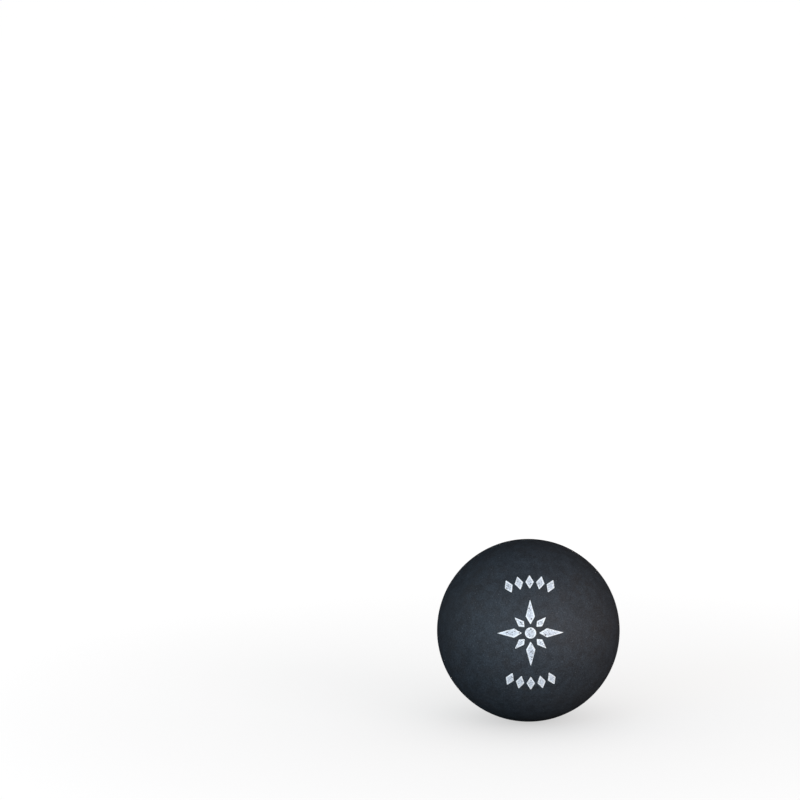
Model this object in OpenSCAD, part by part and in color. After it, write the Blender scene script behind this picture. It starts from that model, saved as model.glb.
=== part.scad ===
// A hollow rubber squash ball of the larger, 57 mm size. It is moulded as two half
// shells, whose rims are cemented together and buffed flush, and it carries a mark
// printed in silver ink on its front.
//
// Sizes are in millimetres. The origin is the centre of the ball, +Z is up, and the
// front faces -Y. The cemented joint lies in the XZ plane.

/* [Ball] */
// Outside diameter of the ball
ball_d = 57; // [40:0.5:70]
// Thickness of the rubber wall
wall = 3.75; // [2.5:0.05:6]

/* [Cemented joint] */
// Thickness of the cement film between the two rims
cement_t = 0.2; // [0.1:0.01:0.5]
// Bevel on each rim's inner edge, which the squeezed-out cement fills
rim_bevel = 0.6; // [0.3:0.05:1.2]
// How far the cement's outer edge lies below the buffed surface
seam_groove = 0.05; // [0.02:0.01:0.15]

/* [Printed marks] */
// Thickness of the ink film
ink_t = 0.05; // [0.03:0.01:0.12]
// How far the middle of the print is turned up from the front, in degrees
print_tilt = 10.5; // [0:0.5:30]

/* [Centre star] */
// Tip to tip across the four long rays
star_d = 20.4; // [16:0.1:26]
// Width of a long ray at its shoulder
long_ray_w = 2.8; // [1.5:0.1:3.6]
// Tip to tip across the four short rays
short_star_d = 13.6; // [10:0.1:15.5]
// Width of a short ray at its shoulder
short_ray_w = 2.2; // [1:0.1:2.8]
// Diameter of the solid hub in the middle
hub_d = 3.4; // [2:0.1:4.4]
// Gap between the hub and the inner ends of the rays
hub_gap = 0.9; // [0.5:0.05:1.4]

/* [Lozenge rows] */
// Distance from the middle of the print to the middle of each row
row_r = 15.5; // [14.5:0.1:17]
// Number of lozenges in a row
lozenge_count = 5; // [2:1:8]
// Height of a lozenge, away from the middle of the print
lozenge_h = 4.2; // [2:0.1:5]
// Width of a lozenge, along its row
lozenge_w = 2.6; // [1:0.1:3]
// Distance between neighbouring lozenges, along the row
lozenge_pitch = 3.3; // [3.2:0.1:4.2]

/* [Hidden] */
$fn = 180;

rubber_colour = [0.14, 0.15, 0.17];
cement_colour = [0.20, 0.16, 0.12];
ink_colour = [0.80, 0.81, 0.85];

// How far a cutting shape runs past what it cuts
overrun = 1;

ball_r = ball_d / 2;
cavity_r = ball_r - wall;
// Half of the cement film lies on each side of the joint's plane
rim_gap = cement_t / 2;
// The squeezed-out bead is as wide as the notch that the two bevels make
bead_r = rim_bevel + rim_gap;
ray_start_r = hub_d / 2 + hub_gap;
// Where along its length a ray is widest
shoulder_share = 0.32;
lozenge_step = lozenge_pitch / row_r * 180 / PI;

// One moulded half, with its pole towards +Z and its rim just above the XY plane
module half_shell() {
    color(rubber_colour)
        difference() {
            sphere(r = ball_r);
            sphere(r = cavity_r);
            translate([0, 0, rim_gap - ball_d])
                cylinder(r = ball_r + overrun, h = ball_d);
            rim_bevel_cutter();
        }
}

// A cone at 45 degrees that takes the inner corner off the rim
module rim_bevel_cutter() {
    translate([0, 0, rim_gap - overrun])
        cylinder(
            r1 = cavity_r + rim_bevel + overrun,
            r2 = cavity_r - rim_bevel,
            h = 2 * rim_bevel + overrun
        );
}

module front_half_shell() {
    rotate([90, 0, 0]) half_shell();
}

module rear_half_shell() {
    rotate([-90, 0, 0]) half_shell();
}

// Cross-section of the cement: the film between the rims, and the bead inside it
module cement_section() {
    translate([cavity_r, -rim_gap])
        square([wall - seam_groove, cement_t]);
    intersection() {
        translate([cavity_r, 0]) circle(r = bead_r);
        polygon([
            [cavity_r - bead_r, 2 * bead_r],
            [cavity_r + rim_bevel, rim_gap],
            [cavity_r + rim_bevel, -rim_gap],
            [cavity_r - bead_r, -2 * bead_r]
        ]);
    }
}

module seam_cement() {
    color(cement_colour)
        rotate([90, 0, 0])
            rotate_extrude() cement_section();
}

// Lays a flat design on the front of the ball as a film of ink, as a soft printing pad does
module print_on_front() {
    color(ink_colour)
        rotate([90 - print_tilt, 0, 0])
            intersection() {
                difference() {
                    sphere(r = ball_r + ink_t);
                    sphere(r = ball_r);
                }
                linear_extrude(height = ball_d) children();
            }
}

// A long four-sided ray that points away from the middle of the print
module ray(tip_r, width) {
    shoulder_r = ray_start_r + shoulder_share * (tip_r - ray_start_r);
    polygon([
        [ray_start_r, 0],
        [shoulder_r, width / 2],
        [tip_r, 0],
        [shoulder_r, -width / 2]
    ]);
}

module lozenge() {
    polygon([
        [lozenge_w / 2, 0],
        [0, lozenge_h / 2],
        [-lozenge_w / 2, 0],
        [0, -lozenge_h / 2]
    ]);
}

// A row of lozenges on an arc above the middle of the print
module lozenge_row() {
    for (i = [0 : lozenge_count - 1])
        rotate((i - (lozenge_count - 1) / 2) * lozenge_step)
            translate([0, row_r])
                lozenge();
}

module centre_print() {
    print_on_front() {
        circle(d = hub_d);
        for (quarter = [0 : 3]) {
            rotate(quarter * 90) ray(star_d / 2, long_ray_w);
            rotate(quarter * 90 + 45) ray(short_star_d / 2, short_ray_w);
        }
    }
}

module upper_print() {
    print_on_front() lozenge_row();
}

module lower_print() {
    print_on_front() rotate(180) lozenge_row();
}

front_half_shell();
rear_half_shell();
seam_cement();
centre_print();
upper_print();
lower_print();
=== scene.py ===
"""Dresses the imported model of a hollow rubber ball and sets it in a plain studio.

The ball is two moulded half shells of rubber, cemented rim to rim and buffed to one
sphere, with marks printed in silver ink on its front. Each piece is worked out here as
arrays of points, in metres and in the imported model's own frame: the origin is the
ball's centre, +Z is up, and the front faces -Y.
"""

import logging
import math
from dataclasses import dataclass
from enum import Enum
from typing import Any, ClassVar

import bpy
import numpy as np
from mathutils import Matrix, Quaternion, Vector


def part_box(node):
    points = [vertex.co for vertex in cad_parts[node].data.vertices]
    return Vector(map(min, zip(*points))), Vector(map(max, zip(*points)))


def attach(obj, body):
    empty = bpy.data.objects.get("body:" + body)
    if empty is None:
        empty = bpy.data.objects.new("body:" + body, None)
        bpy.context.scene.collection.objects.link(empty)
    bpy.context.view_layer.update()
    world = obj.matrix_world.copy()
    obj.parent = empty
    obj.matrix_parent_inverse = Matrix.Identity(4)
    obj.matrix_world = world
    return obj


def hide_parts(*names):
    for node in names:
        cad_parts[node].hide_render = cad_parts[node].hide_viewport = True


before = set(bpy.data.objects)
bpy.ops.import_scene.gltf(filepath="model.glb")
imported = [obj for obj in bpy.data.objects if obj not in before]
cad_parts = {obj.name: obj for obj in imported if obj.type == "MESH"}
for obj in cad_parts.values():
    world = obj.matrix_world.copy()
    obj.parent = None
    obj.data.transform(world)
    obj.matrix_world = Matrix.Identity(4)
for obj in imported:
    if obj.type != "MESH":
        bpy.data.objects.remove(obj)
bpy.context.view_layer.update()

Array = np.ndarray
Pair = tuple[float, float]
Colour = tuple[float, float, float]
Material = bpy.types.Material
Node = bpy.types.Node
Outputs = bpy.types.NodeOutputs
Piece = bpy.types.Object
Socket = bpy.types.NodeSocket
Feed = Socket | float | tuple[float, ...]
Inputs = dict[str | int, Feed]

MM = 0.001
# The points' attribute that holds their distance from the edge of a mark
TO_EDGE = "to_edge"
# Edges that bend by more than this stay sharp
CREASE = math.radians(35.0)
# What most values of a noise, and of the grain's height, lie between
NOISE_SPAN = (0.3, 0.7)
GRAIN_SPAN = (0.0, 0.6)
NOISE_MEAN = 0.5
# The two ends of a smooth change
RISE = (0.0, 1.0)
FALL = (1.0, 0.0)

log = logging.getLogger("ball")


class Half(Enum):
    """The two half shells, by where the first, second and pole axis of each point."""

    FRONT = ((1.0, 0.0, 0.0), (0.0, 0.0, 1.0), (0.0, -1.0, 0.0))
    REAR = ((-1.0, 0.0, 0.0), (0.0, 0.0, 1.0), (0.0, 1.0, 0.0))


class Row(Enum):
    """The two printed rows, by how far each is turned about the middle of the print."""

    UPPER = 0.0
    LOWER = math.pi


class Slot(Enum):
    """The record's material slots."""

    RUBBER = "rubber"
    CEMENT = "cement"
    INK = "ink"


# Points, fields and surfaces


def unit(vectors: Array) -> Array:
    """Vectors brought to a length of one."""
    return vectors / np.linalg.norm(vectors, axis=-1, keepdims=True)


def circle(turn: Array) -> Array:
    """Points of the unit circle at angles in radians, (..., 2)."""
    return np.stack([np.cos(turn), np.sin(turn)], axis=-1)


def unit_ring(count: int) -> Array:
    """Points spread evenly round the unit circle, (count, 2)."""
    return circle(np.linspace(0.0, 2 * math.pi, count, endpoint=False))


def turned(points: Array, angle: float | Array) -> Array:
    """Plane points turned counter-clockwise about the origin by angles in radians."""
    x, y, cosine, sine = points[..., 0], points[..., 1], np.cos(angle), np.sin(angle)
    return np.stack([x * cosine - y * sine, x * sine + y * cosine], axis=-1)


def band_quads(first: Array, second: Array) -> Array:
    """Quads that join two closed rings of points, point by point."""
    corners = [first, second, np.roll(second, -1), np.roll(first, -1)]
    return np.stack(corners, axis=-1)


def put(name: str, data: Any) -> Piece:
    """Puts new data into the scene as an object at the origin.

    Args:
        name: the object's name.
        data: its mesh, light or camera.

    Returns:
        The new object.
    """
    thing = bpy.data.objects.new(name, data)
    bpy.context.scene.collection.objects.link(thing)
    return thing


@dataclass(frozen=True)
class WaveField:
    """A smooth field with no repeat: the sum of plane waves of many lengths.

    Each wave is the sine of its phase plus the distance along its direction over its
    length. A longer wave is higher in proportion, so that all are equally steep.
    """

    shortest: float
    longest: float
    waves: int
    seed: int

    def at(self, points: Array) -> Array:
        """The field's values, smoothly limited by a hyperbolic tangent.

        Args:
            points: where the field is wanted, (..., 3), in metres.

        Returns:
            A value from -1 to 1 for each point.
        """
        draw = np.random.default_rng(self.seed)
        heading = unit(draw.normal(size=(self.waves, 3)))
        length = np.geomspace(self.shortest, self.longest, self.waves)
        phase = draw.uniform(0.0, 2 * math.pi, self.waves)
        sines = np.sin(points @ (heading * (2 * math.pi / length)[:, None]).T + phase)
        return np.tanh(sines @ length / math.sqrt(2 * (length**2).sum()))

    def share(self, points: Array) -> Array:
        """The field's values moved to the range from 0 to 1."""
        return (1 + self.at(points)) / 2


@dataclass(frozen=True)
class Surface:
    """A closed surface: points in metres, and quads, counter-clockwise from outside."""

    points: Array
    quads: Array

    @classmethod
    def joined(cls, parts: tuple["Surface", ...]) -> "Surface":
        """Several surfaces as one.

        Args:
            parts: the surfaces, whose points are numbered on from one to the next.

        Returns:
            The one surface.
        """
        starts = np.cumsum([0] + [len(part.points) for part in parts])
        quads = np.concatenate([part.quads + start for part, start in zip(parts, starts)])
        return cls(np.concatenate([part.points for part in parts]), quads)

    def volume(self) -> float:
        """The volume inside: a sixth of the sum of all triangles' triple products."""
        a, b, c, d = np.moveaxis(self.points[self.quads], 1, 0)
        return float((a * (np.cross(b, c) + np.cross(c, d))).sum() / 6)

    def make(self, name: str, node: str, slot: Slot, material: Material) -> Piece:
        """Makes a dressed piece that rides on the ball in place of a CAD node.

        Args:
            name: the piece's name.
            node: the CAD node that it stands for.
            slot: the record's slot for the piece's finish, which is not used.
            material: its finish.

        Returns:
            The piece, at the origin and shaded smooth up to its creases.
        """
        mesh = bpy.data.meshes.new(name)
        mesh.vertices.add(len(self.points))
        mesh.vertices.foreach_set("co", self.points.astype(np.float32).ravel())
        mesh.loops.add(self.quads.size)
        mesh.loops.foreach_set("vertex_index", self.quads.astype(np.int32).ravel())
        mesh.polygons.add(len(self.quads))
        loop_starts = np.arange(0, self.quads.size, 4, dtype=np.int32)
        mesh.polygons.foreach_set("loop_start", loop_starts)
        mesh.update(calc_edges=True)
        mesh.validate()
        mesh.shade_smooth()
        mesh.set_sharp_from_angle(angle=CREASE)
        mesh.materials.append(material)
        piece = put(name, mesh)
        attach(piece, "root")
        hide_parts(node)
        log.info("%s: %d quads, %.1f mm3", name, len(mesh.polygons), self.volume() / MM**3)
        return piece


@dataclass(frozen=True)
class DiscGrid:
    """A square grid laid over a disc, ring by ring, so that the disc has no pole."""

    cells: int

    def polar(self) -> tuple[Array, Array]:
        """Where the grid's points lie in the disc.

        A point's share of the disc's radius is the larger of |u| and |v|. Its angle
        runs evenly along each side of the square, a quarter turn to a side.

        Returns:
            Each point's share of the radius, and its angle in radians.
        """
        line = np.linspace(-1.0, 1.0, self.cells + 1)
        u, v = (part.ravel() for part in np.meshgrid(line, line, indexing="ij"))
        share = np.maximum(abs(u), abs(v))
        beside = abs(u) >= abs(v)
        across = np.where(beside, u, v)
        lean = math.pi / 4 * np.where(beside, v, u) / np.where(share > 0, across, 1.0)
        angle = np.where(beside, lean, math.pi / 2 - lean)
        return share, angle + np.where(across < 0, math.pi, 0.0)

    def numbers(self) -> Array:
        """The numbers of the grid's points, row by row."""
        return np.arange((self.cells + 1) ** 2).reshape(self.cells + 1, -1)

    def border(self) -> Array:
        """The numbers of the border's points, in the order of their angle."""
        n = self.numbers()
        return np.concatenate([n[-1, :-1], n[:0:-1, -1], n[0, :0:-1], n[:-1, 0]])

    def quads(self) -> Array:
        """The grid's own quads, counter-clockwise in its plane."""
        n = self.numbers()
        return np.stack([n[:-1, :-1], n[1:, :-1], n[1:, 1:], n[:-1, 1:]], axis=-1).reshape(-1, 4)

    def closed(self, outer: Array, rows: Array, inner: Array) -> Surface:
        """Two discs of this grid, one over the other, and the wall between their edges.

        Args:
            outer: the outer disc's points, (points, 3).
            rows: the wall's rings of points from there on, (rings, border points, 3).
            inner: the inner disc's points, (points, 3).

        Returns:
            The closed surface.
        """
        between = len(outer) + np.arange(rows.size // 3).reshape(rows.shape[:2])
        start = len(outer) + between.size
        rings = [self.border(), *between, self.border() + start]
        bands = [band_quads(one, two) for one, two in zip(rings, rings[1:])]
        quads = [self.quads(), *bands, self.quads()[:, ::-1] + start]
        points = np.concatenate([outer, rows.reshape(-1, 3), inner])
        return Surface(points, np.concatenate(quads))


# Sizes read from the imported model


@dataclass(frozen=True)
class BallSizes:
    """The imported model's own sizes, in metres, which every piece here follows."""

    ball_r: float
    cavity_r: float
    rim_gap: float
    rim_bevel: float
    cement_r: float
    ink_t: float

    @classmethod
    def from_frame(cls) -> "BallSizes":
        """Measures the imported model.

        A shell's points reach from the cavity's radius to the ball's. The rim's gap is
        how far the shell stops short of the joint's plane, and half the bead's width
        is that gap and the rim's bevel.

        Returns:
            The sizes.
        """
        cavity_r, ball_r = cls.reach("front_half_shell")
        rim_gap = -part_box("front_half_shell")[1].y
        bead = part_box("seam_cement")[1]
        return cls(
            ball_r=ball_r,
            cavity_r=cavity_r,
            rim_gap=rim_gap,
            rim_bevel=bead.y - rim_gap,
            cement_r=bead.x,
            ink_t=cls.reach("centre_print")[1] - ball_r,
        )

    @staticmethod
    def reach(node: str) -> Pair:
        """How near to the ball's centre, and how far from it, a CAD node's points lie.

        Args:
            node: the node's name.

        Returns:
            The least and the greatest distance.
        """
        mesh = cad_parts[node].data
        flat = np.empty(len(mesh.vertices) * 3, np.float32)
        mesh.vertices.foreach_get("co", flat)
        away = np.linalg.norm(flat.reshape(-1, 3).astype(float), axis=1)
        return float(away.min()), float(away.max())


@dataclass(frozen=True)
class BuffedSkin:
    """The ball's outer surface, a sphere that buffing left very slightly uneven.

    A smooth field sinks it by up to depth. Beside the seam it sinks further, by a bell
    curve of the distance from the joint's plane, whose height a second field varies.
    Both shells and the ink follow it.
    """

    ball_r: float
    depth: float = 0.024 * MM
    swell: WaveField = WaveField(3.2 * MM, 15.0 * MM, waves=56, seed=57)
    seam_depth: float = 0.030 * MM
    seam_reach: float = 0.45 * MM
    seam_swell: WaveField = WaveField(2.0 * MM, 12.0 * MM, waves=24, seed=58)

    def radius(self, directions: Array) -> Array:
        """The surface's distance from the centre.

        Args:
            directions: unit vectors, (..., 3).

        Returns:
            The radius along each direction, in metres.
        """
        points = directions * self.ball_r
        near = np.exp(-((points[..., 1] / self.seam_reach) ** 2))
        on_joint = points * np.array([1.0, 0.0, 1.0])
        dip = self.depth * self.swell.share(points)
        return self.ball_r - dip - self.seam_depth * near * self.seam_swell.share(on_joint)


# Pieces


@dataclass(frozen=True)
class HalfShell:
    """One moulded half of the ball: outer skin, rim with its bevel, and cavity wall."""

    half: Half
    sizes: BallSizes
    skin: BuffedSkin
    cells: int = 200
    crowding: float = 0.6
    edge_round: float = 0.07 * MM
    round_rows: int = 6
    face_rows: int = 4
    bevel_rows: int = 3

    @property
    def axes(self) -> Array:
        """The world directions of the shell's own axes, as rows."""
        return np.array(self.half.value)

    def rim_profile(self) -> Array:
        """The rim's cross-section, from where the outer skin ends to the cavity's wall.

        An arc touches both the sphere and the rim's plane. The flat face then runs
        inward to the bevel, a line at 45 degrees: distance and height keep their sum
        until the squares of both add up to the square of the cavity's radius.

        Returns:
            Distance from the pole axis and height above the joint's plane, (rows, 2).
        """
        s = self.sizes
        centre_h = s.rim_gap + self.edge_round
        centre_r = math.sqrt((s.ball_r - self.edge_round) ** 2 - centre_h**2)
        turn = np.linspace(math.atan2(centre_h, centre_r), -math.pi / 2, self.round_rows + 1)
        arc = np.array([centre_r, centre_h]) + self.edge_round * circle(turn)
        face_end = np.array([s.cavity_r + s.rim_bevel, s.rim_gap])
        face = np.linspace((centre_r, s.rim_gap), face_end, self.face_rows + 1)[1:]
        half_sum = face_end.sum() / 2
        climb = half_sum - s.rim_gap - math.sqrt(s.cavity_r**2 / 2 - half_sum**2)
        bevel = np.linspace(face_end, face_end + (-climb, climb), self.bevel_rows + 1)[1:]
        return np.concatenate([arc, face, bevel])

    def cap(self, end: Array) -> Array:
        """Directions over a cap round the pole, on a grid without a pole.

        The angle from the pole grows with the disc's share, in steps that shrink
        evenly towards the rim.

        Args:
            end: the point of the rim's profile that the cap ends at.

        Returns:
            World unit vectors, (points, 3).
        """
        share, angle = DiscGrid(self.cells).polar()
        tilt = math.atan2(*end) * share * (1 + self.crowding * (1 - share))
        x, y = np.sin(tilt) * circle(angle).T
        return np.stack([x, y, np.cos(tilt)], axis=-1) @ self.axes

    def rim_rows(self, profile: Array) -> Array:
        """The rim's profile carried round the pole axis.

        The skin's dip fades out over the rounded edge, row by row.

        Args:
            profile: the profile without its two ends.

        Returns:
            World points, (rows, border points, 3).
        """
        grid = DiscGrid(self.cells)
        ring = circle(grid.polar()[1][grid.border()]) @ self.axes[:2]
        fade = np.clip(1 - np.arange(1, len(profile) + 1) / self.round_rows, 0, 1)
        dip = self.sizes.ball_r - self.skin.radius(ring)
        reach = profile[:, :1] - fade[:, None] * dip
        return reach[..., None] * ring + profile[:, 1:, None] * self.axes[2]

    def surface(self) -> Surface:
        """The whole closed shell, where it is in the world.

        Returns:
            The outer skin, the rim's rows and the cavity's wall as one.
        """
        profile = self.rim_profile()
        outer = self.cap(profile[0])
        outer *= self.skin.radius(outer)[:, None]
        inner = self.cap(profile[-1]) * self.sizes.cavity_r
        return DiscGrid(self.cells).closed(outer, self.rim_rows(profile[1:-1]), inner)

    def build(self, rubber: Material) -> Piece:
        """Makes the shell."""
        node = f"{self.half.name.lower()}_half_shell"
        return self.surface().make(f"{node}_moulding", node, Slot.RUBBER, rubber)


@dataclass(frozen=True)
class SeamCement:
    """The ring of cement: a thin film between the rims and a bead inside the ball."""

    sizes: BallSizes
    steps: int = 600
    bead_points: int = 24
    line_points: int = 5
    meniscus: float = 0.02 * MM
    edge_unevenness: float = 0.07 * MM
    edge_swell: WaveField = WaveField(1.2 * MM, 6.0 * MM, waves=24, seed=13)
    bead_unevenness: float = 0.14
    bead_swell: WaveField = WaveField(5.0 * MM, 20.0 * MM, waves=24, seed=12)

    def profile(self) -> Array:
        """The cross-section's outline.

        It goes round once: out along one face of the film, over the hollow outer edge,
        back along the other face, down one bevel, round the bead's half circle and up
        the other bevel. The hollow is a parabola.

        Returns:
            Distance from the Y axis and place along it, (points, 2).
        """
        s = self.sizes
        gap, bead_r = s.rim_gap, s.rim_bevel + s.rim_gap
        inner_r = s.cavity_r + s.rim_bevel
        film = np.linspace((inner_r, -gap), (s.cement_r, -gap), self.line_points)
        across = np.linspace(-1.0, 1.0, 2 * self.line_points - 1)[1:-1]
        hollow = np.stack([s.cement_r - self.meniscus * (1 - across**2), gap * across], axis=-1)
        bevel = np.linspace((inner_r, gap), (s.cavity_r, bead_r), self.line_points)[1:-1]
        half_turn = np.linspace(math.pi / 2, 3 * math.pi / 2, self.bead_points)
        bead = np.array([s.cavity_r, 0.0]) + bead_r * circle(half_turn)
        back = np.array([1.0, -1.0])
        return np.concatenate([film, hollow, film[::-1] * back, bevel, bead, bevel[::-1] * back])

    def surface(self) -> Surface:
        """The profile carried round the Y axis.

        What stands out of the cavity's wall is cut by a share that wanders along the
        seam. A quicker field draws the film's outer edge in.

        Returns:
            The ring.
        """
        s = self.sizes
        away, along = self.profile().T
        ring = unit_ring(self.steps) @ np.array(Half.FRONT.value[:2])
        cut = self.bead_unevenness * self.bead_swell.share(ring * s.cavity_r)
        shrink = self.edge_unevenness * self.edge_swell.share(ring * s.cement_r)
        over = np.minimum(away - s.cavity_r, 0.0)
        outermost = away > s.cement_r - 2 * self.meniscus
        reach = away[:, None] - over[:, None] * cut - outermost[:, None] * shrink
        points = reach[..., None] * ring
        points[..., 1] = along[:, None]
        rings = np.arange(reach.size).reshape(reach.shape)
        quads = [band_quads(rings[k - 1], rings[k]) for k in range(len(rings))]
        return Surface(points.reshape(-1, 3), np.concatenate(quads))

    def build(self, cement: Material) -> Piece:
        """Makes the ring."""
        return self.surface().make("seam_cement_ring", "seam_cement", Slot.CEMENT, cement)


@dataclass(frozen=True)
class Outline:
    """A closed convex outline in the print's flat plane, and a point inside it."""

    points: Array
    middle: Array

    arc_points: ClassVar[int] = 17
    arc_room: ClassVar[float] = 1.6

    @classmethod
    def round_spot(cls, radius: float, points: int = 256) -> "Outline":
        """A circle about the origin."""
        return cls(radius * unit_ring(points), np.zeros(2))

    @classmethod
    def soft_polygon(cls, corners: Array, corner_round: float) -> "Outline":
        """A convex polygon whose corners are arcs.

        Each arc touches both sides of its corner. Where the corner is sharp, its radius
        is cut to a share: the tangent of half the corner's angle times the arc's room.

        Args:
            corners: the polygon's corners, (corners, 2), counter-clockwise.
            corner_round: radius of the arcs, in metres.

        Returns:
            The outline, with the mean of the corners as the point inside it.
        """
        inward = unit(np.roll(corners, 1, axis=0) - corners)
        onward = unit(np.roll(corners, -1, axis=0) - corners)
        half = np.arccos((inward * onward).sum(axis=1)) / 2
        radius = corner_round * np.minimum(1.0, np.tan(half) * cls.arc_room)
        bisector = unit(inward + onward)
        centre = corners + bisector * (radius / np.sin(half))[:, None]
        sweep = np.linspace(half - math.pi / 2, math.pi / 2 - half, cls.arc_points, axis=1)
        arcs = centre[:, None] + radius[:, None, None] * turned(-bisector[:, None], sweep)
        return cls(arcs.reshape(-1, 2), corners.mean(axis=0))

    def at(self, turn: Array) -> Array:
        """Points on the outline, in even proportion to its length.

        Args:
            turn: the share of the length walked, from 0 to 1 and round again.

        Returns:
            A point for each share, (shares, 2).
        """
        closed = np.concatenate([self.points, self.points[:1]])
        steps = np.linalg.norm(np.diff(closed, axis=0), axis=1)
        walked = np.append(0.0, np.cumsum(steps)) / steps.sum()
        return np.stack([np.interp(turn % 1.0, walked, line) for line in closed.T], axis=-1)

    def moved(self, angle: float, shift: Array | float = 0.0) -> "Outline":
        """The outline shifted and then turned about the origin."""
        return Outline(turned(self.points + shift, angle), turned(self.middle + shift, angle))

    def half_width(self) -> float:
        """Distance from the inner point to the nearest part of the outline."""
        return float(np.linalg.norm(self.points - self.middle, axis=1).min())


@dataclass(frozen=True)
class InkFilm:
    """How a flat mark becomes a film of ink on the buffed skin.

    The film's top stands at height_share of the CAD film's thickness. Its edge sinks
    below the skin, and its bottom lies a little lower.
    """

    sizes: BallSizes
    skin: BuffedSkin
    tilt: float = math.radians(10.5)
    cells: int = 48
    crowding: float = 1.7
    height_share: float = 0.55
    sink: float = 0.02 * MM
    bottom: float = 0.022 * MM
    edge_width: float = 0.07 * MM
    ragged: float = 0.022 * MM
    creep: tuple[WaveField, ...] = tuple(
        WaveField(0.28 * MM, 1.6 * MM, waves=28, seed=seed) for seed in (3, 4)
    )

    def lay(self, outline: Outline) -> tuple[Surface, Array]:
        """One mark as a closed film.

        Top and bottom are the outline shrunk towards its inner point by the disc's
        share, crowded towards the edge. There the top falls by a quarter of an ellipse.

        Args:
            outline: the mark's outline in the print's plane.

        Returns:
            The film, and each point's distance from the mark's edge.
        """
        grid = DiscGrid(self.cells)
        share, angle = grid.polar()
        share = 1 - (1 - share) ** self.crowding
        edge = outline.at(angle / (2 * math.pi))
        flat = self.ragged_edge(outline.middle + share[:, None] * (edge - outline.middle))
        to_edge = (1 - share) * outline.half_width()
        bend = np.clip(1 - to_edge / self.edge_width, 0, 1)
        full = self.sink + self.sizes.ink_t * self.height_share
        top = self.on_ball(flat, full * np.sqrt(1 - bend**2) - self.sink)
        base = self.on_ball(flat, np.full(len(flat), -self.bottom))
        no_rows = np.empty((0, len(grid.border()), 3))
        return grid.closed(top, no_rows, base), np.tile(to_edge, 2)

    def ragged_edge(self, flat: Array) -> Array:
        """Flat points pushed about a little, as ink spreads on buffed rubber."""
        there = np.pad(flat, ((0, 0), (0, 1)))
        return flat + self.ragged * np.stack([field.at(there) for field in self.creep], axis=-1)

    def on_ball(self, flat: Array, height: Array) -> Array:
        """Flat points dropped along the print's axis on to the ball.

        The place across the axis is kept, the place along it is what the sphere's
        radius leaves, and the result is turned up by the print's tilt.

        Args:
            flat: points in the print's plane, (points, 2).
            height: each point's height above the buffed skin.

        Returns:
            World points, (points, 3).
        """
        x, y = flat.T
        z = np.sqrt(self.sizes.ball_r**2 - x**2 - y**2)
        cosine, sine = math.cos(self.tilt), math.sin(self.tilt)
        world = unit(np.stack([x, y * sine - z * cosine, y * cosine + z * sine], axis=-1))
        return world * (self.skin.radius(world) + height)[:, None]

    def build(self, name: str, node: str, outlines: list[Outline], ink: Material) -> Piece:
        """Makes a group of marks.

        Args:
            name: the piece's name.
            node: the CAD node that it stands for.
            outlines: the marks' outlines in the print's plane.
            ink: the finish.

        Returns:
            The piece, with each point's distance from its mark's edge as an attribute.
        """
        films, to_edge = zip(*(self.lay(outline) for outline in outlines))
        piece = Surface.joined(films).make(name, node, Slot.INK, ink)
        attribute = piece.data.attributes.new(TO_EDGE, "FLOAT", "POINT")
        attribute.data.foreach_set("value", np.concatenate(to_edge).astype(np.float32))
        return piece


@dataclass(frozen=True)
class CentreStar:
    """The mark in the middle: a round hub and eight rays, four long and four short."""

    star_d: float = 20.4 * MM
    long_ray_w: float = 2.8 * MM
    short_star_d: float = 13.6 * MM
    short_ray_w: float = 2.2 * MM
    hub_d: float = 3.4 * MM
    hub_gap: float = 0.9 * MM
    shoulder_share: float = 0.32
    corner_round: float = 0.14 * MM

    def ray(self, tip_r: float, width: float) -> Outline:
        """A four-sided ray along +x, widest at its shoulder.

        Args:
            tip_r: distance of its tip from the middle of the print.
            width: its width at the shoulder.

        Returns:
            The ray's outline.
        """
        start_r = self.hub_d / 2 + self.hub_gap
        shoulder_r = start_r + self.shoulder_share * (tip_r - start_r)
        corners = [(start_r, 0), (shoulder_r, -width / 2), (tip_r, 0), (shoulder_r, width / 2)]
        return Outline.soft_polygon(np.array(corners), self.corner_round)

    def outlines(self) -> list[Outline]:
        """The hub, then long and short rays by turns.

        Returns:
            Their outlines in the print's plane.
        """
        long_ray = self.ray(self.star_d / 2, self.long_ray_w)
        short_ray = self.ray(self.short_star_d / 2, self.short_ray_w)
        rays = [ray.moved(k * math.pi / 4) for k, ray in enumerate([long_ray, short_ray] * 4)]
        return [Outline.round_spot(self.hub_d / 2), *rays]

    def build(self, film: InkFilm, ink: Material) -> Piece:
        """Prints the star."""
        return film.build("centre_star_ink", "centre_print", self.outlines(), ink)


@dataclass(frozen=True)
class LozengeRow:
    """A row of lozenges on an arc about the middle of the print."""

    row: Row
    row_r: float = 15.5 * MM
    count: int = 5
    lozenge_h: float = 4.2 * MM
    lozenge_w: float = 2.6 * MM
    pitch: float = 3.3 * MM
    corner_round: float = 0.16 * MM

    def outlines(self) -> list[Outline]:
        """The lozenges, spread evenly about the row's middle.

        Returns:
            Their outlines in the print's plane.
        """
        half_w, half_h = self.lozenge_w / 2, self.lozenge_h / 2
        corners = np.array([(half_w, 0), (0, half_h), (-half_w, 0), (0, -half_h)])
        lozenge = Outline.soft_polygon(corners, self.corner_round)
        step = self.pitch / self.row_r
        places = (np.arange(self.count) - (self.count - 1) / 2) * step + self.row.value
        return [lozenge.moved(place, np.array([0.0, self.row_r])) for place in places]

    def build(self, film: InkFilm, ink: Material) -> Piece:
        """Prints the row."""
        name = self.row.name.lower()
        return film.build(f"{name}_lozenges_ink", f"{name}_print", self.outlines(), ink)


# Nodes and shared effects


def rgba(colour: Colour, share: float = 1.0) -> tuple[float, ...]:
    """A colour for a socket, brightened or darkened by a share."""
    return (*(part * share for part in colour), 1.0)


WHITE = rgba((1.0, 1.0, 1.0))


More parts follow.
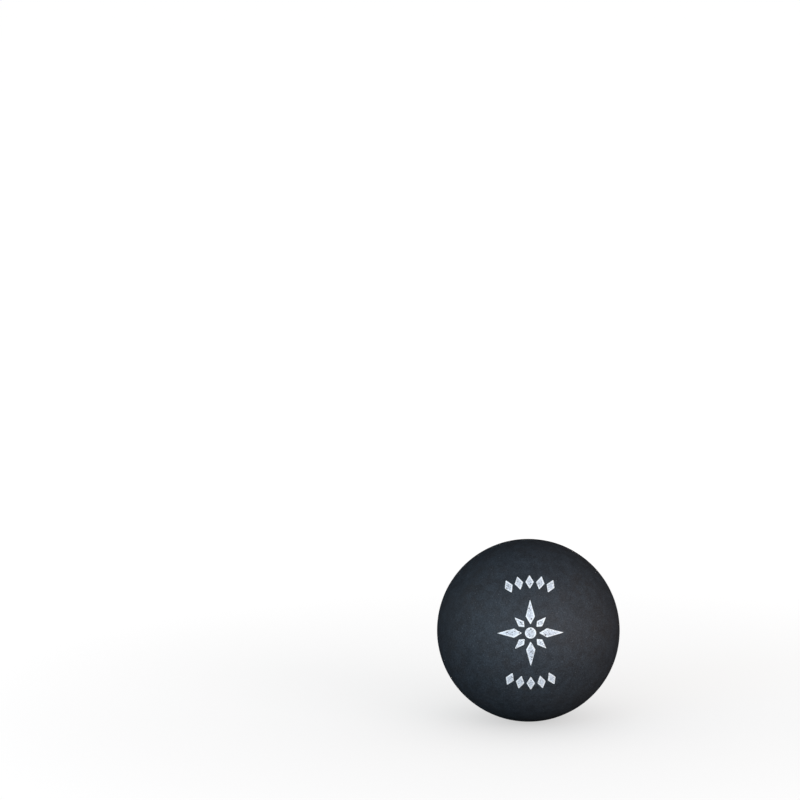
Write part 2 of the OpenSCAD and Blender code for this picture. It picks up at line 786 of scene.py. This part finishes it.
@dataclass(frozen=True)
class Bench:
    """Adds nodes to one node tree and wires them up."""

    tree: bpy.types.NodeTree

    @classmethod
    def of(cls, data: Material | bpy.types.World) -> "Bench":
        """Turns the nodes of a new material or world on, and works on them."""
        data.use_nodes = True
        return cls(data.node_tree)

    def feed(self, node: Node, inputs: Inputs) -> Node:
        """Sets or links a node's inputs.

        Args:
            node: the node.
            inputs: a value or another node's output for each input, by name or number.

        Returns:
            The same node.
        """
        for name, value in inputs.items():
            if isinstance(value, Socket):
                self.tree.links.new(value, node.inputs[name])
            else:
                node.inputs[name].default_value = value
        return node

    def add(self, kind: str, inputs: Inputs | None = None, **settings: Any) -> Node:
        """Adds a node.

        Args:
            kind: the node's type name, without the leading ShaderNode.
            inputs: what feeds the node.
            settings: the node's own properties.

        Returns:
            The node.
        """
        node = self.tree.nodes.new(f"ShaderNode{kind}")
        for name, value in settings.items():
            setattr(node, name, value)
        return self.feed(node, inputs or {})

    def maths(self, operation: str, *values: Feed) -> Socket:
        """One sum on numbers or sockets, and its result."""
        return self.add("Math", dict(enumerate(values)), operation=operation).outputs[0]

    def ramp(self, value: Feed, span: Pair, ends: Pair) -> Socket:
        """A smooth change from one end to the other as value goes through a span."""
        inputs = dict(enumerate((value, *span, *ends)))
        return self.add("MapRange", inputs, interpolation_type="SMOOTHSTEP").outputs[0]

    def blend(self, share: Feed, one: Feed, two: Feed, mode: str = "MIX") -> Socket:
        """One colour over another by a share, and the result."""
        # The node has its colours at inputs 6 and 7, and their mix at output 2
        node = self.add("Mix", {0: share, 6: one, 7: two}, data_type="RGBA", blend_type=mode)
        return node.outputs[2]

    def noise(self, place: Feed, scale: Feed, detail: float, roughness: float = 0.5) -> Socket:
        """A noise's values, with as many of its main waves to the metre as scale says."""
        inputs = {"Vector": place, "Scale": scale, "Detail": detail, "Roughness": roughness}
        return self.add("TexNoise", inputs).outputs[0]


@dataclass(frozen=True)
class Effect:
    """An effect that several finishes share, kept as one node group.

    The group takes the place on the piece, each field of the effect as a number, and
    the colours named in takes. Its outputs are named in gives, each with its type.
    """

    group: ClassVar[str]
    takes: ClassVar[tuple[str, ...]] = ()
    gives: ClassVar[dict[str, str]]

    def results(self, bench: Bench, given: Outputs) -> Inputs:
        """Lays out the group's nodes, and says what feeds each of its outputs."""
        raise NotImplementedError

    def tree(self) -> bpy.types.NodeTree:
        """The effect's node group, built at its first use.

        Returns:
            The one group, which all finishes share.
        """
        tree = bpy.data.node_groups.get(self.group)
        if tree is None:
            tree = bpy.data.node_groups.new(self.group, "ShaderNodeTree")
            takes = dict.fromkeys(vars(self), "Float") | dict.fromkeys(self.takes, "Color")
            for way, sockets in (("INPUT", {"place": "Vector"} | takes), ("OUTPUT", self.gives)):
                for name, kind in sockets.items():
                    tree.interface.new_socket(name, in_out=way, socket_type=f"NodeSocket{kind}")
            given = tree.nodes.new("NodeGroupInput").outputs
            result = tree.nodes.new("NodeGroupOutput")
            Bench(tree).feed(result, self.results(Bench(tree), given))
        return tree

    def on(self, bench: Bench, place: Socket, **colours: Feed) -> Outputs:
        """What the group gives where a finish's bench places it."""
        inputs = {"place": place} | vars(self) | colours
        return bench.add("Group", inputs, node_tree=self.tree()).outputs


@dataclass(frozen=True)
class Grain(Effect):
    """Fine grains of one size: noise mixed with rounded cells, as a height and a tone."""

    size: float

    group: ClassVar[str] = "fine_grain"
    gives: ClassVar[dict[str, str]] = {"height": "Float", "tone": "Float"}
    fine: ClassVar[Pair] = (3.0, 0.62)
    cell_share: ClassVar[float] = 0.45
    tone_scale: ClassVar[float] = 0.7
    coarse: ClassVar[Pair] = (4.0, 0.7)

    def results(self, bench: Bench, given: Outputs) -> Inputs:
        """Height is a noise less a share of the distance from a cell's middle.

        Tone is a second, wider noise. Each noise has its own detail and roughness.

        Args:
            bench: the group's bench.
            given: the group's inputs.

        Returns:
            What feeds the group's outputs.
        """
        place = given["place"]
        scale = bench.maths("DIVIDE", 1.0, given["size"])
        noise = bench.noise(place, scale, *self.fine)
        cells = bench.add("TexVoronoi", {"Vector": place, "Scale": scale}).outputs["Distance"]
        height = bench.maths("MULTIPLY_ADD", cells, -self.cell_share, noise)
        wide = bench.maths("MULTIPLY", scale, self.tone_scale)
        return {"height": height, "tone": bench.noise(place, wide, *self.coarse)}


@dataclass(frozen=True)
class Specks(Effect):
    """Scattered small spots with ragged edges: pits, pinholes, bubbles or dust.

    share is how many places have a spot, and cover how strongly a spot shows.
    """

    spacing: float
    radius: float
    share: float
    cover: float

    group: ClassVar[str] = "scattered_specks"
    gives: ClassVar[dict[str, str]] = {"mask": "Float", "cover": "Float"}
    fray_scale: ClassVar[float] = 1.2
    fray_detail: ClassVar[float] = 1.0
    least_size: ClassVar[float] = 0.45
    soft_edge: ClassVar[Pair] = (0.55, 1.15)

    def results(self, bench: Bench, given: Outputs) -> Inputs:
        """A spot sits at the middle of a share of the cells of a Voronoi pattern.

        The cell's random colour says whether it has a spot and how large it is: the
        radius times the least size plus a random share. A noise as fine as the radius
        frays the distance from the spot's middle.

        Args:
            bench: the group's bench.
            given: the group's inputs.

        Returns:
            What feeds the group's outputs.
        """
        place, spacing, radius = given["place"], given["spacing"], given["radius"]
        scale = bench.maths("DIVIDE", 1.0, spacing)
        cells = bench.add("TexVoronoi", {"Vector": place, "Scale": scale}).outputs
        away = bench.maths("MULTIPLY", cells["Distance"], spacing)
        fine = bench.maths("DIVIDE", self.fray_scale, radius)
        fray = bench.maths("SUBTRACT", bench.noise(place, fine, self.fray_detail), NOISE_MEAN)
        away = bench.maths("ADD", away, bench.maths("MULTIPLY", fray, radius))
        chance = bench.add("SeparateColor", {0: cells["Color"]}).outputs
        size = bench.maths("MULTIPLY", radius, bench.maths("ADD", chance[1], self.least_size))
        spot = bench.ramp(bench.maths("DIVIDE", away, size), self.soft_edge, FALL)
        there = bench.maths("LESS_THAN", chance[0], given["share"])
        mask = bench.maths("MULTIPLY", spot, there)
        return {"mask": mask, "cover": bench.maths("MULTIPLY", mask, given["cover"])}


@dataclass(frozen=True)
class Mottle(Effect):
    """A slow drift between two colours, in patches of one size."""

    patch: float

    group: ClassVar[str] = "slow_mottle"
    takes: ClassVar[tuple[str, ...]] = ("low", "high")
    gives: ClassVar[dict[str, str]] = {"colour": "Color"}
    detail: ClassVar[float] = 4.0

    def results(self, bench: Bench, given: Outputs) -> Inputs:
        """The share of the second colour is a noise with its contrast raised.

        Args:
            bench: the group's bench.
            given: the group's inputs.

        Returns:
            What feeds the group's output.
        """
        scale = bench.maths("DIVIDE", 1.0, given["patch"])
        share = bench.ramp(bench.noise(given["place"], scale, self.detail), NOISE_SPAN, RISE)
        return {"colour": bench.blend(share, given["low"], given["high"])}


# Finishes


@dataclass(frozen=True)
class Finish:
    """A finish whose colour, roughness and relief come from layers of nodes.

    A layer drives the roughness between its two ends, and the surface would rise by
    relief for a height of one. plain holds the shader's values that stay the same.
    """

    roughness: Pair
    relief: float

    name: ClassVar[str]
    plain: ClassVar[dict[str, float]] = {}

    def layers(self, bench: Bench, place: Socket) -> tuple[Socket, Socket, Socket]:
        """Lays out the finish's nodes, and gives its colour, roughness and height."""
        raise NotImplementedError

    def material(self) -> Material:
        """The finished material.

        Returns:
            A new material, whose patterns read the place on the piece itself.
        """
        material = bpy.data.materials.new(self.name)
        bench = Bench.of(material)
        place = bench.add("TexCoord").outputs["Object"]
        colour, rough, height = self.layers(bench, place)
        bump = bench.add("Bump", {"Height": height, "Distance": self.relief, "Strength": 1.0})
        layered = {"Base Color": colour, "Roughness": rough, "Normal": bump.outputs[0]}
        bench.feed(bench.tree.nodes["Principled BSDF"], self.plain | layered)
        return material


@dataclass(frozen=True)
class RubberFinish(Finish):
    """Matte black rubber, buffed all over, with a faintly finer band along the seam."""

    roughness: Pair = (0.69, 0.57)
    relief: float = 0.06 * MM
    cool: Colour = (0.0262, 0.0342, 0.0435)
    cool_shade: float = 0.85
    warm: Colour = (0.0300, 0.0345, 0.0410)
    warm_shade: float = 0.93
    broad: Mottle = Mottle(9.0 * MM)
    narrow: Mottle = Mottle(2.6 * MM)
    narrow_shade: float = 1.22
    grain: Grain = Grain(0.27 * MM)
    tone_swing: float = 0.42
    dust: Specks = Specks(0.9 * MM, 0.12 * MM, share=0.6, cover=0.55)
    dust_colour: Colour = (0.12, 0.13, 0.145)
    pits: Specks = Specks(0.75 * MM, 0.12 * MM, share=0.6, cover=0.7)
    # How dark the pits are painted: painted shade in the pits, beside their real dip in the
    # height
    pit_painted_shade: float = 0.3
    pit_relief: float = 0.6
    band: float = 1.3 * MM
    scratch_pitch: float = 0.06 * MM
    scratch_length: float = 4.0 * MM
    scratch_detail: float = 2.0
    scratch_relief: float = 0.5

    name: ClassVar[str] = "buffed_rubber"
    plain: ClassVar[dict[str, float]] = {"Specular IOR Level": 0.30}

    def scratches(self, bench: Bench, place: Socket) -> Socket:
        """Fine lines that run along the seam and fade out over the band's width.

        They are a noise that changes fast across the seam and slowly along it.

        Args:
            bench: the finish's bench.
            place: the place on the piece.

        Returns:
            The lines' height, which is nought on average.
        """
        slow, fast = 1 / self.scratch_length, 1 / self.scratch_pitch
        stretch = {"Vector": place, "Scale": (slow, fast, slow)}
        stretched = bench.add("Mapping", stretch, vector_type="POINT").outputs[0]
        noise = bench.noise(stretched, 1.0, self.scratch_detail)
        across = bench.maths("ABSOLUTE", bench.add("SeparateXYZ", {0: place}).outputs["Y"])
        near = bench.ramp(across, (0.0, self.band), FALL)
        return bench.maths("MULTIPLY", bench.maths("SUBTRACT", noise, NOISE_MEAN), near)

    def layers(self, bench: Bench, place: Socket) -> tuple[Socket, Socket, Socket]:
        """Broad and narrow patches of colour times the grain's tone, then dust, then pits whose
        darker colour is painted shade.

        Roughness falls as the grain's height grows. The height is the grain's, less a
        share of the pits, plus a share of the scratches.

        Args:
            bench: the finish's bench.
            place: the place on the piece.

        Returns:
            Colour, roughness and height.
        """
        low, high = rgba(self.cool, self.cool_shade), rgba(self.warm, self.warm_shade)
        broad = self.broad.on(bench, place, low=low, high=high)["colour"]
        high = rgba(self.cool, self.narrow_shade)
        patches = self.narrow.on(bench, place, low=broad, high=high)["colour"]
        grain = self.grain.on(bench, place)
        swing = (1 - self.tone_swing, 1 + self.tone_swing)
        tone = bench.ramp(grain["tone"], NOISE_SPAN, swing)
        grey = bench.add("CombineColor", {0: tone, 1: tone, 2: tone}).outputs[0]
        colour = bench.blend(1.0, patches, grey, "MULTIPLY")
        dust, pits = self.dust.on(bench, place), self.pits.on(bench, place)
        colour = bench.blend(dust["cover"], colour, rgba(self.dust_colour))
        # The pits are darkened: painted shade in the pits, over the real dip that the height
        # gives them
        colour = bench.blend(pits["cover"], colour, rgba(self.cool, self.pit_painted_shade))
        rough = bench.ramp(grain["height"], GRAIN_SPAN, self.roughness)
        height = bench.maths("MULTIPLY_ADD", pits["mask"], -self.pit_relief, grain["height"])
        lines = self.scratches(bench, place)
        return colour, rough, bench.maths("MULTIPLY_ADD", lines, self.scratch_relief, height)


@dataclass(frozen=True)
class CementFinish(Finish):
    """Cured rubber cement: brown-black, a little glossier than the rubber, with bubbles."""

    roughness: Pair = (0.44, 0.58)
    relief: float = 0.012 * MM
    base: Colour = (0.017, 0.014, 0.011)
    light: Colour = (0.034, 0.026, 0.019)
    patches: Mottle = Mottle(1.6 * MM)
    grain: Grain = Grain(0.12 * MM)
    bubbles: Specks = Specks(0.6 * MM, 0.08 * MM, share=0.4, cover=0.5)
    bubble_shade: float = 0.4
    bubble_relief: float = 2.0

    name: ClassVar[str] = "rubber_cement"

    def layers(self, bench: Bench, place: Socket) -> tuple[Socket, Socket, Socket]:
        """Patches of brown under darker bubbles, which stand up from the grain.

        Args:
            bench: the finish's bench.
            place: the place on the piece.

        Returns:
            Colour, roughness and height.
        """
        low, high = rgba(self.base), rgba(self.light)
        patches = self.patches.on(bench, place, low=low, high=high)["colour"]
        bubbles, grain = self.bubbles.on(bench, place), self.grain.on(bench, place)
        colour = bench.blend(bubbles["cover"], patches, rgba(self.base, self.bubble_shade))
        rough = bench.ramp(grain["tone"], NOISE_SPAN, self.roughness)
        rise = bench.maths("MULTIPLY_ADD", bubbles["mask"], self.bubble_relief, grain["height"])
        return colour, rough, rise


@dataclass(frozen=True)
class InkFinish(Finish):
    """Silver pad-printing ink: fine flakes, pinholes that show the rubber, fuller edges.

    The ink is fullest at a mark's edge and fades inward over full_edge. The pinholes
    begin over pin_margin.
    """

    roughness: Pair = (0.6, 0.42)
    relief: float = 0.03 * MM
    dull: Colour = (0.46, 0.50, 0.55)
    bright: Colour = (0.86, 0.93, 1.0)
    flakes: Grain = Grain(0.22 * MM)
    full: Colour = (0.94, 0.98, 1.0)
    full_share: float = 0.8
    full_edge: Pair = (0.14 * MM, 0.70 * MM)
    hole: Colour = (0.06, 0.07, 0.085)
    small_pins: Specks = Specks(0.36 * MM, 0.13 * MM, share=0.6, cover=0.7)
    large_pins: Specks = Specks(0.75 * MM, 0.20 * MM, share=0.7, cover=1.0)
    pin_margin: Pair = (0.078 * MM, 0.26 * MM)
    pin_relief: float = 0.7
    grain: Grain = Grain(0.34 * MM)

    name: ClassVar[str] = "silver_ink"
    plain: ClassVar[dict[str, float]] = {"Diffuse Roughness": 1.0, "Metallic": 0.1}

    def layers(self, bench: Bench, place: Socket) -> tuple[Socket, Socket, Socket]:
        """Flakes, fuller ink along the edges, and pinholes away from the edges.

        The pinholes are the larger of two masks: many faint small ones and a few deep
        ones. The height is a wider grain's, less a share of the pinholes.

        Args:
            bench: the finish's bench.
            place: the place on the piece.

        Returns:
            Colour, roughness and height.
        """
        flakes, grain = self.flakes.on(bench, place), self.grain.on(bench, place)
        shine = bench.ramp(flakes["tone"], NOISE_SPAN, RISE)
        colour = bench.blend(shine, rgba(self.dull), rgba(self.bright))
        to_edge = bench.add("Attribute", attribute_name=TO_EDGE).outputs["Fac"]
        rim = bench.ramp(to_edge, self.full_edge, (self.full_share, 0.0))
        colour = bench.blend(rim, colour, rgba(self.full))
        covers = [pins.on(bench, place)["cover"] for pins in (self.small_pins, self.large_pins)]
        inner = bench.ramp(to_edge, self.pin_margin, RISE)
        pins = bench.maths("MULTIPLY", bench.maths("MAXIMUM", *covers), inner)
        colour = bench.blend(pins, colour, rgba(self.hole))
        rough = bench.ramp(flakes["height"], GRAIN_SPAN, self.roughness)
        return colour, rough, bench.maths("MULTIPLY_ADD", pins, -self.pin_relief, grain["height"])


# Studio


def direction(azimuth: float, elevation: float) -> Vector:
    """The unit vector at degrees round from the front, towards +X, and degrees up."""
    a, e = math.radians(azimuth), math.radians(elevation)
    return Vector((math.sin(a) * math.cos(e), -math.cos(a) * math.cos(e), math.sin(e)))


@dataclass(frozen=True)
class Softbox:
    """A square soft light that faces the ball and doesn't show in a picture.

    Angles are in degrees, lengths in metres and power in watts.
    """

    name: str
    azimuth: float
    elevation: float
    power: float
    colour: Colour
    size: float = 0.9
    distance: float = 1.6
    glossy: bool = True

    def place(self) -> None:
        """Hangs the light."""
        lamp = bpy.data.lights.new(self.name, "AREA")
        lamp.shape = "SQUARE"
        lamp.size = self.size
        lamp.energy = self.power
        lamp.color = self.colour
        light = put(self.name, lamp)
        towards = direction(self.azimuth, self.elevation)
        light.location = towards * self.distance
        light.rotation_mode = "QUATERNION"
        light.rotation_quaternion = towards.to_track_quat("Z", "Y")
        light.visible_camera = False
        light.visible_glossy = self.glossy


@dataclass(frozen=True)
class PhotoCamera:
    """The photograph's camera, in the photograph's own frame of 800 x 800 pixels.

    The ball's place and radius are read off the photograph. The focal length and the
    angles, in degrees, come from its perspective. The ball's radius in pixels and its
    real radius give the distance.
    """

    frame_px: float = 800.0
    focal_px: float = 3941.0
    ball_right_px: float = 528.3
    ball_down_px: float = 630.15
    ball_radius_px: float = 91.15
    azimuth: float = -1.4
    elevation: float = 12.26
    roll: float = -0.7
    sensor: float = 36.0
    clip: Pair = (0.01, 100.0)

    def place(self, ball_r: float) -> None:
        """Sets the camera up and makes it the scene's.

        Args:
            ball_r: the ball's real radius, in metres.
        """
        lens = bpy.data.cameras.new("photo_camera")
        lens.sensor_width = self.sensor
        lens.lens = self.sensor * self.focal_px / self.frame_px
        lens.clip_start, lens.clip_end = self.clip
        camera = put("photo_camera", lens)
        back = direction(self.azimuth, self.elevation)
        away = ball_r * math.hypot(self.focal_px / self.ball_radius_px, 1.0)
        camera.location = back * away
        camera.rotation_mode = "QUATERNION"
        camera.rotation_quaternion = self.facing(back)
        bpy.context.scene.camera = camera

    def facing(self, back: Vector) -> Quaternion:
        """The turn that puts the ball at its place in the frame.

        That place gives the direction to the ball in the camera's own axes. The
        camera's heading and pitch are then found in turn: its own horizon stays level
        before the roll is added.

        Args:
            back: unit vector from the ball to the camera.

        Returns:
            The camera's turn.
        """
        roll = Matrix.Rotation(math.radians(self.roll), 3, "Z")
        middle = self.frame_px / 2
        seen = Vector((self.ball_right_px - middle, middle - self.ball_down_px, -self.focal_px))
        seen = (roll @ seen).normalized()
        heading = math.asin(seen.x / math.hypot(back.x, back.y)) - math.atan2(-back.x, -back.y)
        level = math.sqrt(1 - seen.x**2)
        pitch = math.asin(-back.z / level) - math.asin(seen.y / level)
        turn = Matrix.Rotation(heading, 3, "Z")
        tip = Matrix.Rotation(math.pi / 2 + pitch, 3, "X")
        return (turn @ tip @ roll).to_quaternion()


@dataclass(frozen=True)
class Studio:
    """A plain pale floor and soft light from the front, with weaker light all round.

    floor_rings are the radii of the floor's rings of points. The floor's glow grows
    from glow_near to full over glow_span, a range of distances from the ball's centre.
    """

    floor_rings: tuple[float, ...] = (0.05, 0.15, 0.5, 2.0, 9.0)
    floor_steps: int = 96
    floor_tone: float = 0.22
    glow_near: float = 0.86
    glow_span: Pair = (0.05, 0.35)
    contact_shade: float = 0.35
    world_fill: float = 0.004
    boxes: tuple[Softbox, ...] = (
        Softbox("front_key", 0.0, 15.0, 16.0, (1.0, 1.0, 0.97), size=1.8),
        Softbox("right_fill", 45.0, 15.0, 12.6, (1.12, 1.0, 1.02)),
        Softbox("left_fill", -45.0, 15.0, 9.0, (0.75, 1.0, 1.25)),
        Softbox("right_side", 90.0, 8.0, 1.3, (1.8, 1.1, 0.6)),
        Softbox("left_side", -90.0, 14.0, 1.7, (1.5, 1.1, 0.7)),
        Softbox("rear_fill", 180.0, -8.0, 28.0, (1.14, 1.0, 0.88), glossy=False),
    )

    def floor(self, height: float) -> None:
        """Lays a round floor, as rings of points from the middle out.

        It only shows to the camera, so it doesn't light the ball from below, and it
        can be seen through from underneath.

        Args:
            height: the floor's height, in metres.
        """
        radii = np.array(self.floor_rings)
        flat = (radii[:, None, None] * unit_ring(self.floor_steps)).reshape(-1, 2)
        points = np.pad(flat, ((0, 0), (0, 1)), constant_values=height)
        rings = np.arange(len(flat)).reshape(len(radii), -1)
        bands = np.concatenate([band_quads(one, two) for one, two in zip(rings, rings[1:])])
        mesh = bpy.data.meshes.new("studio_floor")
        mesh.from_pydata(points.tolist(), [], [rings[0].tolist(), *bands.tolist()])
        mesh.materials.append(self.floor_material(-height))
        floor = put("studio_floor", mesh)
        floor.visible_diffuse = floor.visible_glossy = floor.visible_shadow = False

    def floor_material(self, ball_r: float) -> Material:
        """Nearly white, self-lit for the most part, with room left for a soft shadow.

        The glow rises to the backdrop's white away from the ball. Under the ball it is
        dimmed by a share of the light that the ball hides there, which is the cube of
        the ball's radius over the distance from its centre.

        Args:
            ball_r: the ball's radius, in metres.

        Returns:
            The material.
        """
        material = bpy.data.materials.new("pale_floor")
        bench = Bench.of(material)
        nodes = bench.tree.nodes
        place = bench.add("TexCoord").outputs["Object"]
        away = bench.add("VectorMath", {0: place}, operation="LENGTH").outputs["Value"]
        hidden = bench.maths("POWER", bench.maths("DIVIDE", ball_r, away), 3.0)
        open_share = bench.maths("MULTIPLY_ADD", hidden, -self.contact_shade, 1.0)
        glow = bench.ramp(away, self.glow_span, (self.glow_near, 1.0))
        matte = {
            "Base Color": rgba((self.floor_tone,) * 3),
            "Roughness": 1.0,
            "Specular IOR Level": 0.0,
            "Emission Color": WHITE,
            "Emission Strength": bench.maths("MULTIPLY", glow, open_share),
        }
        shader = bench.feed(nodes["Principled BSDF"], matte).outputs[0]
        clear = bench.add("BsdfTransparent").outputs[0]
        below = bench.add("NewGeometry").outputs["Backfacing"]
        mixed = bench.add("MixShader", {0: below, 1: shader, 2: clear}).outputs[0]
        bench.feed(nodes["Material Output"], {"Surface": mixed})
        return material

    def backdrop(self) -> None:
        """White where the camera looks past the floor, and dim for everything else."""
        world = bpy.data.worlds.new("studio_backdrop")
        bench = Bench.of(world)
        bench.tree.nodes.clear()
        straight = bench.add("LightPath").outputs["Is Camera Ray"]
        dim = bench.add("Background", {"Color": WHITE, "Strength": self.world_fill}).outputs[0]
        white = bench.add("Background", {"Color": WHITE, "Strength": 1.0}).outputs[0]
        mixed = bench.add("MixShader", {0: straight, 1: dim, 2: white}).outputs[0]
        bench.add("OutputWorld", {"Surface": mixed})
        bpy.context.scene.world = world

    def build(self, ball_r: float) -> None:
        """Sets up the floor, the backdrop, the lights and how tones are shown.

        Args:
            ball_r: the ball's radius, in metres.
        """
        self.floor(-ball_r)
        self.backdrop()
        for box in self.boxes:
            box.place()
        bpy.context.scene.view_settings.view_transform = "Standard"
        log.info("studio: %d soft lights", len(self.boxes))


def main() -> None:
    """Builds the ball piece by piece, then the studio round it."""
    logging.basicConfig(level=logging.INFO, format="%(name)s: %(message)s")
    sizes = BallSizes.from_frame()
    skin = BuffedSkin(sizes.ball_r)
    rubber, cement, ink = (kind().material() for kind in (RubberFinish, CementFinish, InkFinish))
    for half in Half:
        HalfShell(half, sizes, skin).build(rubber)
    SeamCement(sizes).build(cement)
    film = InkFilm(sizes, skin)
    CentreStar().build(film, ink)
    for row in Row:
        LozengeRow(row).build(film, ink)
    Studio().build(sizes.ball_r)
    PhotoCamera().place(sizes.ball_r)


if __name__ == "__main__":
    main()
